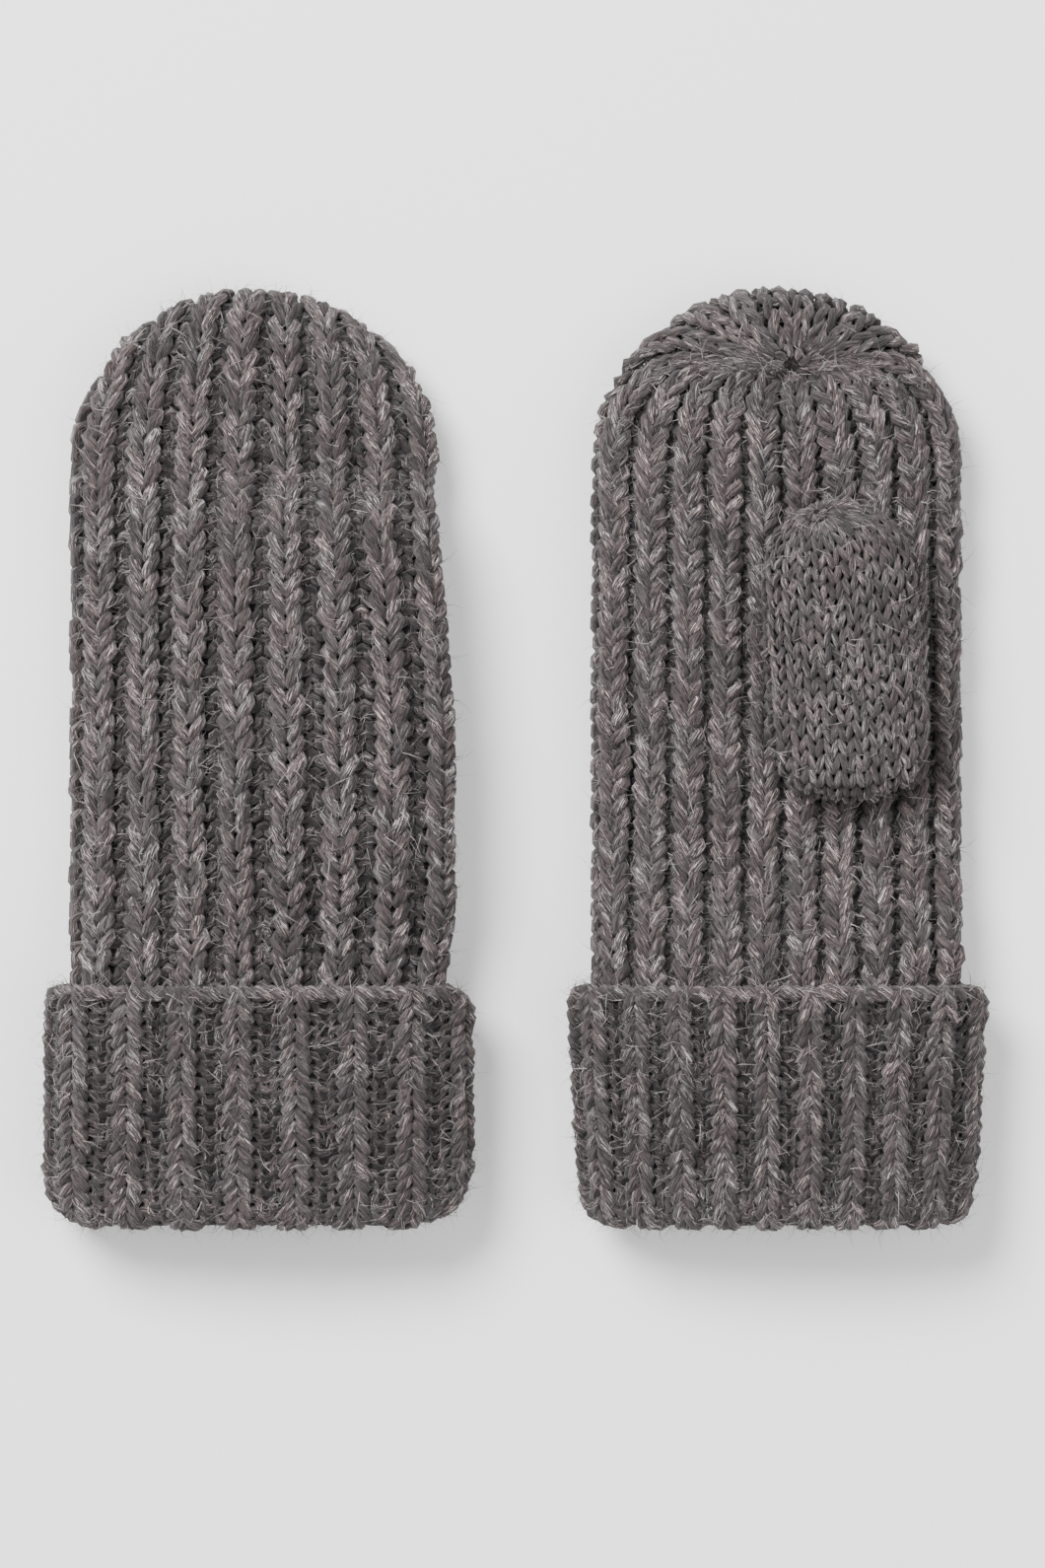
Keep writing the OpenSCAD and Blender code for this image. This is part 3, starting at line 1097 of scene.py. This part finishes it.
class Knitter:
    """Draws the yarn of a fabric through its surface."""

    def __init__(self, surface: KnitSurface, wales: Wales, gauge: Gauge, seed: int) -> None:
        """Keep the fabric's surface, wales and gauge, and its own unevenness.

        Args:
            surface: The surface that the fabric lies in.
            wales: Its wales.
            gauge: How it is knitted.
            seed: Seed of its unevenness.
        """
        self.surface = surface
        self.wales = wales
        self.gauge = gauge
        draw = np.random.default_rng(seed)
        self.jitter = draw.normal(0.0, 1.0, (6, gauge.courses, len(wales.start)))

    def course_lines(self, first: int, last: int, which: slice, until: float = 2.0) -> Lines:
        """Centre lines of the yarn in some courses.

        Args:
            first: The first course.
            last: The course after the last one.
            which: The wales to work.
            until: Distance along the fabric past which the purl wales close.

        Returns:
            Points (courses, samples, 3), and a thickness and tone for each; the tone holds painted
            shade.
        """
        g, plain = self.gauge, self.wales.all_knit
        t = np.arange(g.samples) / g.samples
        course = np.arange(first, last)[:, None, None]
        stitch = self.wales.stitch[which][None, :, None]
        jog = self.jitter[:, first:last, which, None]
        middle = np.sin(np.pi * t) ** 2
        leg = np.sin(2 * np.pi * t) ** 2
        height = g.overlap / 2 * (1 + g.uneven_height * jog[0] * middle)
        q = course + 0.5 - height * np.cos(2 * np.pi * t) + g.uneven_height * jog[4] * middle
        q = q / (g.courses + g.overlap / 2)
        closing = smooth((q - until) / max(1 - until, 0.01) * 1.3)
        start, width = self.wales.spans(closing, which)
        lean = np.where(stitch > 0, g.lean, g.purl_lean) * (1 + g.uneven_lean * jog[1])
        slant = lean * np.sin(4 * np.pi * t) + g.uneven_width * jog[5] * middle
        a = start + width * (t + slant)
        full = self.surface.width(a, q * 0 + 0.3)
        squeeze = np.clip(self.surface.width(a, q) / full, 0.3, 1.0)
        relief = np.interp(self.surface.at(a, q)[..., 1], g.relief_at, g.relief)
        rise = np.where(stitch > 0, g.depth, g.purl_depth) * 2 * leg
        rise = rise * (1 + g.uneven_rise * jog[2])
        ridge = 0.0 if plain else g.ridge * np.sin(np.pi * t) * (1 + closing)
        out = stitch * (rise + ridge) - (g.depth if plain else g.sink)
        out = out * squeeze * relief
        crease = 0.0
        if g.dimple:
            away = np.linalg.norm(self.surface.at(a, q) - self.surface.points[:, -1].mean(0),
                                  axis=-1)
            crease = 1 - smooth(away / g.dimple_reach)
            out = out - g.dimple * crease
        points = self.surface.at(a, q, out)
        thick = g.yarn * (0.4 + 0.6 * squeeze) * (1 + g.uneven_yarn * jog[3] * middle)
        thick = thick * (1 + g.swell * (leg - 0.7))
        tone = 1.1 + g.uneven_tone * jog[1] * middle
        # Painted shade: darker where the legs dive into the fabric and over the recessed purl
        # wales.
        tone = tone - g.hollow * (1 - leg) - g.purl_shade * (stitch < 0)
        # Painted shade: darker in the crease round the gather.
        tone = tone * g.shade * (1 - g.gather_shade * crease)
        flat = (last - first, -1)
        return points.reshape(*flat, 3), thick.reshape(flat), tone.reshape(flat)


@dataclass(frozen=True)
class FuzzLayer:
    """One kind of loose fibre: how many, how long and how thick."""

    name: str
    density: float
    length: float
    thickness: float


@dataclass(frozen=True)
class Core:
    """The dark middle sheet of a fabric, coloured as painted shade: how deep it lies and how
    finely it is made.
    """

    depth: float
    closed_end: bool = True
    steps: tuple[int, int] = (64, 56)
    thickness: float = 1.2 * MM


@dataclass
class Bench:
    """The tools and yarns that every piece is made with."""

    sweep: YarnSweep = field(default_factory=YarnSweep)
    fluff: LooseFibres = field(default_factory=LooseFibres)
    wools: dict[str, bpy.types.Material] = field(default_factory=lambda: {
        slot: WoolYarn(slot).build() for slot in ("rib_wool", "plain_wool", "yarn_wool")
    })
    fibre: bpy.types.Material = field(default_factory=WoolFibre().build)
    core: bpy.types.Material = field(default_factory=FeltedCore().build)

    def lines(self, name: str, points: np.ndarray, thick: np.ndarray, tone: np.ndarray,
              closed: bool, keep: np.ndarray | None = None) -> bpy.types.Object:
        """Make an object of edges that carries the yarn's thickness and tone.

        Args:
            name: Name of the object.
            points: Lines of shape (lines, samples, 3).
            thick: Radius at each sample.
            tone: Brightness at each sample, about 1, with any painted shade in it.
            closed: Whether each line joins its own start.
            keep: Where given, samples that are False are left out.

        Returns:
            The object, ready for the yarn sweep.
        """
        lines, samples = points.shape[:2]
        index = np.arange(lines * samples).reshape(lines, samples)
        follow = np.roll(index, -1, axis=1)
        if not closed:
            index, follow = index[:, :-1], follow[:, :-1]
        edges = np.stack([index.ravel(), follow.ravel()], axis=1)
        if keep is not None:
            good = keep.ravel()
            edges = edges[good[edges[:, 0]] & good[edges[:, 1]]]
        mesh = bpy.data.meshes.new(name)
        mesh.vertices.add(lines * samples)
        mesh.vertices.foreach_set("co", points.reshape(-1).astype(np.float32))
        mesh.edges.add(len(edges))
        mesh.edges.foreach_set("vertices", edges.reshape(-1).astype(np.int32))
        phase = np.repeat(np.arange(lines) * PHASE_STEP % PHASE_SPAN, samples)
        for key, values in (("thick", thick), ("tone", tone), ("phase", phase)):
            attribute = mesh.attributes.new(key, "FLOAT", "POINT")
            attribute.data.foreach_set("value", values.reshape(-1).astype(np.float32))
        mesh.update()
        made = bpy.data.objects.new(name, mesh)
        bpy.context.scene.collection.objects.link(made)
        return made

    def swept(self, name: str, lines: bpy.types.Object, sides: int,
              wool: bpy.types.Material) -> bpy.types.Object:
        """Sweep yarn along lines and place the result as a finished piece.

        Args:
            name: Name of the piece.
            lines: Object made by the method of that name; it is used up.
            sides: Sides of the yarn's cross-section.
            wool: The yarn's material.

        Returns:
            The piece.
        """
        mesh = self.sweep.run(lines, {"Sides": sides, "Wool": wool})
        return self.place(name, mesh)

    def fuzz(self, name: str, source: bpy.types.Object, layer: FuzzLayer,
             share: float) -> bpy.types.Object:
        """Lay one layer of loose fibres over a finished piece.

        Args:
            name: Name of the layer's own piece.
            source: The piece that the fibres stand on.
            layer: The kind of fibre.
            share: Share of the layer's usual density.

        Returns:
            The layer as a piece.
        """
        carrier = bpy.data.objects.new(name, source.data.copy())
        bpy.context.scene.collection.objects.link(carrier)
        mesh = self.fluff.run(carrier, {
            "Density": layer.density * share, "Length": layer.length,
            "Thickness": layer.thickness / layer.length, "Seed": SEED, "Wool": self.fibre,
        })
        return self.place(name, mesh)

    @staticmethod
    def place(name: str, mesh: bpy.types.Mesh) -> bpy.types.Object:
        """Rest a mesh on the table and make it an object at the origin.

        Args:
            name: Name of the object.
            mesh: Its mesh.

        Returns:
            The object.
        """
        spots = np.empty(len(mesh.vertices) * 3, dtype=np.float32)
        mesh.vertices.foreach_get("co", spots)
        spots[2::3] = np.maximum(spots[2::3], TABLE_CLEARANCE)
        mesh.vertices.foreach_set("co", spots)
        mesh.name = name
        mesh.update()
        made = bpy.data.objects.new(name, mesh)
        bpy.context.scene.collection.objects.link(made)
        LOG.info("%s: %d faces", name, len(mesh.polygons))
        return made

    def sheet(self, name: str, surface: KnitSurface, core: Core) -> bpy.types.Object:
        """Make the thin core of a fabric as one closed skin, coloured near black as painted shade
        between the loops.

        Args:
            name: Name of the piece.
            surface: The fabric's surface.
            core: How the core lies under it.

        Returns:
            The finished piece.
        """
        thick, depth, closed_end = core.thickness, core.depth, core.closed_end
        rounds, alongs = core.steps
        a = (np.arange(rounds) / rounds)[:, None] + np.zeros((1, alongs))
        q = np.linspace(0.0, 1.0, alongs)[None, :] + np.zeros((rounds, 1))
        outer = surface.at(a, q, np.full_like(a, thick / 2 - depth))
        inner = surface.at(a, q, np.full_like(a, -thick / 2 - depth))[:, ::-1]
        loop = np.concatenate([outer, inner], axis=1)
        count = loop.shape[1]
        index = np.arange(rounds * count).reshape(rounds, count)
        beside = np.roll(index, -1, axis=0)
        follow, beyond = np.roll(index, -1, axis=1), np.roll(beside, -1, axis=1)
        quads = np.stack([index, beside, beyond, follow], axis=-1)
        if closed_end:
            quads = np.delete(quads, alongs - 1, axis=1)
        faces = quads.reshape(-1, 4).tolist()
        if closed_end:
            faces.append(index[:, alongs - 1].tolist())
            faces.append(index[::-1, alongs].tolist())
        mesh = bpy.data.meshes.new(name)
        mesh.from_pydata(loop.reshape(-1, 3).tolist(), [], faces)
        mesh.materials.append(self.core)
        mesh.polygons.foreach_set("use_smooth", [True] * len(mesh.polygons))
        made = self.place(name, mesh)
        self.face_out(made)
        return made

    @staticmethod
    def face_out(piece: bpy.types.Object) -> None:
        """Turn a closed skin's faces outwards if its volume comes out negative.

        Args:
            piece: The skin's object.
        """
        mesh = piece.data
        mesh.calc_loop_triangles()
        corners = np.empty(len(mesh.loop_triangles) * 3, dtype=np.int32)
        mesh.loop_triangles.foreach_get("vertices", corners)
        spots = np.empty(len(mesh.vertices) * 3, dtype=np.float32)
        mesh.vertices.foreach_get("co", spots)
        p = spots.reshape(-1, 3)[corners.reshape(-1, 3)]
        volume = np.einsum("ij,ij->i", p[:, 0], np.cross(p[:, 1], p[:, 2])).sum()
        if volume < 0:
            mesh.flip_normals()


# ---------------------------------------------------------------- the mitten


@dataclass
class Mitten:
    """One mitten: hand and crown, cuff, thumb, edges, gathers and yarn ends."""

    form: MittenForm
    bench: Bench
    hand_gauge: Gauge = Gauge(
        courses=56, relief_at=(-0.072, -0.058), relief=(0.40, 1.0), dimple=5.0 * MM,
        gather_shade=0.45,
    )
    cuff_gauge: Gauge = Gauge(
        courses=19, yarn=1.6 * MM, sink=1.1 * MM, purl_depth=0.5 * MM, depth=1.25 * MM,
        ridge=0.6 * MM, shade=0.86, relief_at=(-0.136, -0.114), relief=(0.30, 1.0),
    )
    thumb_gauge: Gauge = Gauge(
        courses=19, yarn=1.04 * MM, depth=1.6 * MM, swell=0.40, lean=0.25,
        hollow=0.75, overlap=1.55, dimple=2.5 * MM, dimple_reach=7.0 * MM,
    )
    hidden_sides: int = 5
    wrist_courses: int = 14
    crown_start: float = 0.83
    thumb_wales: int = 21
    hand_knit: tuple[float, float] = (0.72, 0.62)
    cuff_knit: tuple[float, float] = (0.52, 0.50)
    hand_core: Core = Core(2.4 * MM)
    cuff_core: Core = Core(1.6 * MM, closed_end=False)
    thumb_core: Core = Core(1.2 * MM, steps=(40, 36))
    edge_radius: float = 1.15 * MM
    edge_yarn: float = 1.5 * MM
    join_coils: int = 22
    join_yarn: float = 1.0 * MM
    tail_yarn: float = 1.2 * MM
    knuckle_bend: float = 16.0 * MM
    thumb_bend: tuple[float, float] = (15.0 * MM, 12.0 * MM)
    thumb_opening: float = 12.5 * MM
    hidden_fuzz: float = 0.15
    fuzz_layers: tuple[FuzzLayer, ...] = (
        FuzzLayer("hairs", 90000.0, 6.5 * MM, 0.090 * MM),
        FuzzLayer("fluff", 95000.0, 3.4 * MM, 0.075 * MM),
    )

    def body(self, part: str) -> str:
        """Name of one of this mitten's bodies or CAD nodes."""
        return f"{self.form.side.word}_{part}"

    def fold(self, piece: bpy.types.Object) -> None:
        """Bake a piece of the hand's placement into its mesh, leaving it on no body.

        Args:
            piece: The piece's object.
        """
        x, y, z = self.form.centre_x, self.form.knuckle_y, self.form.middle
        self.body("hand")
        self.body("fingers")
        y - self.knuckle_bend
        y + self.knuckle_bend
        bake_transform(piece)

    def swing(self, piece: bpy.types.Object) -> None:
        """Bake a piece of the thumb's placement into its mesh, leaving it on no body.

        Args:
            piece: The piece's object.
        """
        x, y, z = self.form.thumb_at
        before, after = self.thumb_bend
        self.body("hand")
        self.body("thumb")
        y - before
        y + after
        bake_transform(piece)

    def ride(self, part: str) -> Callable[[bpy.types.Object], None]:
        """A way of moving pieces wholly with one body."""
        return lambda piece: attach(piece, self.body(part))

    def build(self) -> None:
        """Make every piece of the mitten."""
        self.knit_hand()
        self.knit_cuff()
        self.knit_thumb()
        self.gather_crown()
        self.gather_thumb()
        self.join_thumb()
        self.darn_ends()

    def _dressed(self, name: str, lines: Lines, move: Callable[[bpy.types.Object], None],
                 slot: str, sides: int, closed: bool = True, keep: np.ndarray | None = None,
                 fuzz: float = 1.0, nodes: Sequence[str] = ()) -> None:
        """Sweep yarn into a piece, with its loose fibres.

        Args:
            name: The piece's name without its side.
            lines: Points, thickness and tone of the yarn's centre lines.
            move: Places each piece: on a body, or with its placement baked in.
            slot: Name of the wool material the yarn is swept with.
            sides: Sides of the yarn's cross-section.
            closed: Whether each line joins its own start.
            keep: Samples that are False are left out.
            fuzz: Share of the usual amount of loose fibres.
            nodes: CAD nodes that the piece takes the place of.
        """
        bench, full = self.bench, self.body(name)
        carrier = bench.lines(full, *lines, closed=closed, keep=keep)
        piece = bench.swept(full, carrier, sides, bench.wools[slot])
        fibres = [bench.fuzz(f"{full}_{layer.name}", piece, layer, fuzz)
                  for layer in self.fuzz_layers if fuzz > 0]
        for item in (piece, *fibres):
            move(item)
        if nodes:
            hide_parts(*(self.body(node) for node in nodes))

    def _core(self, name: str, surface: KnitSurface,
              move: Callable[[bpy.types.Object], None], slot: str, core: Core,
              nodes: Sequence[str]) -> None:
        """Lay the core of a fabric under its loops.

        Args:
            name: The fabric's name.
            surface: The fabric's surface.
            move: Places the piece: on a body, or with its placement baked in.
            slot: Not used.
            core: How the core is made.
            nodes: CAD nodes that the core takes the place of.
        """
        piece = self.bench.sheet(self.body(f"{name}_core"), surface, core)
        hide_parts(*(self.body(node) for node in nodes))
        move(piece)

    def knit_hand(self) -> None:
        """Make the wrist, hand and crown in one by one rib."""
        form, gauge = self.form, self.hand_gauge
        surface = form.hand_surface()
        wales = Wales.ribbed(form.side, self.hand_knit)
        knitter = Knitter(surface, wales, gauge, SEED + form.side.value)
        first = int(np.sum(wales.start < 0.5))
        upper, lower = slice(0, first), slice(first, len(wales.start))
        names = ("palm", "back") if form.side is Side.RIGHT else ("back", "palm")
        for name, which, sides in zip(names, (upper, lower), (gauge.sides, self.hidden_sides)):
            lines = knitter.course_lines(
                self.wrist_courses, gauge.courses, which, self.crown_start
            )
            keep = None
            if name == "palm":
                away = lines[0][..., :2] - form.thumb_at[:2]
                keep = np.hypot(away[..., 0], away[..., 1]) > self.thumb_opening
            self._dressed(f"{name}_knit", lines, self.fold, "rib_wool", sides,
                          closed=False, keep=keep,
                          fuzz=1.0 if which is upper else self.hidden_fuzz)
        lines = knitter.course_lines(0, self.wrist_courses, slice(None))
        self._dressed("wrist_knit", lines, self.ride("hand"), "rib_wool", self.hidden_sides,
                      fuzz=0)
        self._core("hand", surface, self.fold, "rib_wool", self.hand_core, ("hand", "fingers"))

    def knit_cuff(self) -> None:
        """Make the turned-up cuff and its cast-on edge."""
        form, gauge = self.form, self.cuff_gauge
        surface = form.cuff_surface()
        wales = Wales.ribbed(form.side, self.cuff_knit)
        knitter = Knitter(surface, wales, gauge, SEED + 20)
        lines = knitter.course_lines(0, gauge.courses, slice(None))
        self._dressed("cuff_knit", lines, self.ride("cuff"), "rib_wool", gauge.sides)
        self._core("cuff", surface, self.ride("cuff"), "rib_wool", self.cuff_core, ("cuff",))
        self._dressed("cast_on_edge_yarn", self._edge_lines(surface, len(wales.start)),
                      self.ride("cuff"), "yarn_wool", gauge.sides, fuzz=2.0,
                      nodes=("cast_on_edge",))

    def _edge_lines(self, surface: KnitSurface, twists: int) -> Lines:
        """Two strands of the cast-on, turning round each other along the edge.

        Args:
            surface: The cuff's surface.
            twists: How many turns the strands make.

        Returns:
            The strands' centre lines, thickness and tone.
        """
        s = np.arange(twists * 8) / (twists * 8)
        draw = np.random.default_rng(SEED + 60)
        wobble = draw.normal(0, 0.12 * MM, (2, len(s)))
        strands = []
        for k in range(2):
            turn = 2 * np.pi * twists * s + k * np.pi
            radius = self.edge_radius + wobble[k]
            points = surface.at(s, 0 * s, radius * np.cos(turn) - 0.3 * MM)
            points[:, 1] += 0.2 * MM + radius * np.sin(turn)
            strands.append(points)
        points = np.stack(strands)
        thick = self.edge_yarn * (1 + 0.08 * draw.normal(0, 1, points.shape[:2]))
        return points, thick, 1 + 0 * thick

    def knit_thumb(self) -> None:
        """Make the plain-knit thumb."""
        form, gauge = self.form, self.thumb_gauge
        surface = form.thumb_surface()
        knitter = Knitter(surface, Wales.plain(self.thumb_wales), gauge, SEED + 40)
        lines = knitter.course_lines(0, gauge.courses, slice(None))
        self._dressed("thumb_knit", lines, self.swing, "plain_wool", gauge.sides, fuzz=0.7)
        self._core("thumb", surface, self.swing, "plain_wool", self.thumb_core, ("thumb",))

    def _rosette(self, surface: KnitSurface, petals: int, radius: float, yarn: float,
                 sunk: float) -> Lines:
        """Loops drawn together round the point where a surface closes.

        Args:
            surface: The closed surface.
            petals: How many loops there are.
            radius: How far the loops reach from the middle.
            yarn: Radius of the yarn.
            sunk: How deep the loops lie under the surface.

        Returns:
            The yarn's centre line, thickness and tone.
        """
        middle = surface.points[:, -1].mean(axis=0)
        out = surface.normals[:, -12].mean(axis=0)
        out /= np.linalg.norm(out)
        side = np.cross(out, (0.0, 1.0, 0.0))
        side /= np.linalg.norm(side)
        up = np.cross(side, out)
        s = np.arange(petals * 12) / (petals * 12)
        turn, wave = 2 * np.pi * s, np.cos(2 * np.pi * petals * s)
        reach = radius * (0.60 + 0.40 * wave * (1 + 0.15 * np.sin(5 * turn + 1)))
        height = yarn * (0.1 + 0.9 * np.sin(2 * np.pi * petals * s + 0.8) + 0.5 * wave)
        middle = middle - sunk * out
        points = (
            middle + (reach * np.cos(turn))[:, None] * side
            + (reach * np.sin(turn))[:, None] * up + height[:, None] * out
        )
        thick = np.full((1, len(s)), yarn)
        return points[None], thick, 0.9 + 0 * thick

    def gather_crown(self) -> None:
        """Make the drawn-together loops at the crown."""
        lines = self._rosette(self.form.hand_surface(), 9, 5.0 * MM, 1.2 * MM, 3.4 * MM)
        self._dressed("crown_gather_yarn", lines, self.ride("fingers"), "yarn_wool", 6,
                      fuzz=1.5, nodes=("crown_gather",))

    def gather_thumb(self) -> None:
        """Make the drawn-together loops at the thumb's tip."""
        lines = self._rosette(self.form.thumb_surface(), 8, 2.6 * MM, 0.9 * MM, 1.6 * MM)
        self._dressed("thumb_gather_yarn", lines, self.ride("thumb"), "yarn_wool", 6,
                      fuzz=1.0, nodes=("thumb_gather",))

    def join_thumb(self) -> None:
        """Make the ring of stitches picked up round the thumb hole."""
        low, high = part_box(self.body("thumb_join"))
        centre, depth = (np.array(low) + np.array(high)) / 2, (high[2] - low[2]) / 2
        s = np.arange(self.join_coils * 10) / (self.join_coils * 10)
        turn, coil = 2 * np.pi * s, 2 * np.pi * self.join_coils * s
        reach = (high[0] - low[0]) / 2 - 1.7 * MM + 0.7 * MM * np.cos(coil)
        points = np.stack([
            centre[0] + reach * np.cos(turn),
            centre[1] + reach * np.sin(turn),
            centre[2] + (depth - self.join_yarn) * np.sin(coil),
        ], axis=-1)[None]
        thick = np.full((1, len(s)), self.join_yarn)
        self._dressed("thumb_join_yarn", (points, thick, 1 + 0 * thick), self.ride("hand"),
                      "yarn_wool", 6, fuzz=0, nodes=("thumb_join",))

    def darn_ends(self) -> None:
        """Make the two yarn ends darned in inside the mitten."""
        form, t = self.form, np.linspace(0, 1, 60)
        low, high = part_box(self.body("crown_tail"))
        reach = high[0] - form.centre_x - 2.5 * MM
        turn = np.radians(9 + 44 * t)
        waver = 0.5 * MM * np.sin(26 * t)
        crown = np.stack([
            form.centre_x + (reach + waver) * np.cos(turn),
            form.knuckle_y + (reach + waver) * np.sin(turn),
            form.middle + 0.6 * MM * np.cos(31 * t),
        ], axis=-1)
        run = np.stack([
            -13.3 * MM + 0.4 * MM * np.sin(24 * t), 16 * MM + 28 * MM * t,
            0.5 * MM * np.cos(29 * t),
        ], axis=-1)
        for name, points, move in (("crown_tail", crown, self.ride("fingers")),
                                   ("thumb_tail", form.at_thumb(run), self.ride("thumb"))):
            thick = np.full((1, len(t)), self.tail_yarn)
            self._dressed(f"{name}_yarn", (points[None], thick, 1 + 0 * thick), move,
                          "yarn_wool", 6, closed=False, fuzz=0, nodes=(name,))


# ---------------------------------------------------------------- the studio


@dataclass(frozen=True)
class Studio:
    """Plain pale floor, soft lights and a camera looking straight down."""

    lens: float = 190.0
    view_height: float = 0.4468
    aim: tuple[float, float, float] = (0.002, -0.0074, 0.02)
    floor_size: float = 30.0

    def camera(self) -> None:
        """Place the camera over the pair."""
        data = bpy.data.cameras.new("camera")
        data.lens = self.lens
        data.sensor_width = 36.0
        data.clip_end = 100.0
        distance = self.view_height * self.lens / data.sensor_width
        made = bpy.data.objects.new("camera", data)
        made.location = (self.aim[0], self.aim[1], self.aim[2] + distance)
        bpy.context.scene.collection.objects.link(made)
        bpy.context.scene.camera = made

    def floor(self) -> None:
        """Lay the pale floor that the pair rests on."""
        half = self.floor_size / 2
        mesh = bpy.data.meshes.new("floor")
        mesh.from_pydata(
            [(-half, -half, 0), (half, -half, 0), (half, half, 0), (-half, half, 0)],
            [], [(0, 1, 2, 3)],
        )
        mesh.materials.append(ShaderDesk("pale_floor").finish(
            Base_Color=(0.93, 0.93, 0.93, 1.0), Roughness=0.9, Specular_IOR_Level=0.1,
        ))
        made = bpy.data.objects.new("floor", mesh)
        bpy.context.scene.collection.objects.link(made)

    def lights(self) -> None:
        """Hang the soft lights and set the pale surroundings."""
        for name, spot, size, watts in (
            ("key", (-0.9, 1.1, 2.0), 1.2, 128.0),
            ("fill", (1.2, -0.4, 1.8), 1.8, 30.0),
        ):
            data = bpy.data.lights.new(name, "AREA")
            data.shape = "DISK"
            data.size = size
            data.energy = watts
            made = bpy.data.objects.new(name, data)
            made.location = spot
            made.rotation_mode = "QUATERNION"
            made.rotation_quaternion = (-Vector(spot)).to_track_quat("-Z", "Y")
            bpy.context.scene.collection.objects.link(made)
        world = bpy.data.worlds.new("pale_room")
        world.use_nodes = True
        background = world.node_tree.nodes["Background"]
        background.inputs["Color"].default_value = (1.0, 1.0, 1.0, 1.0)
        background.inputs["Strength"].default_value = 0.70
        bpy.context.scene.world = world


def main() -> None:
    """Build the studio and both mittens."""
    logging.basicConfig(level=logging.INFO, format="%(message)s")
    studio = Studio()
    studio.camera()
    studio.floor()
    studio.lights()
    bench = Bench()
    for side in Side:
        Mitten(MittenForm.measured(side), bench).build()


if __name__ == "__main__":
    main()
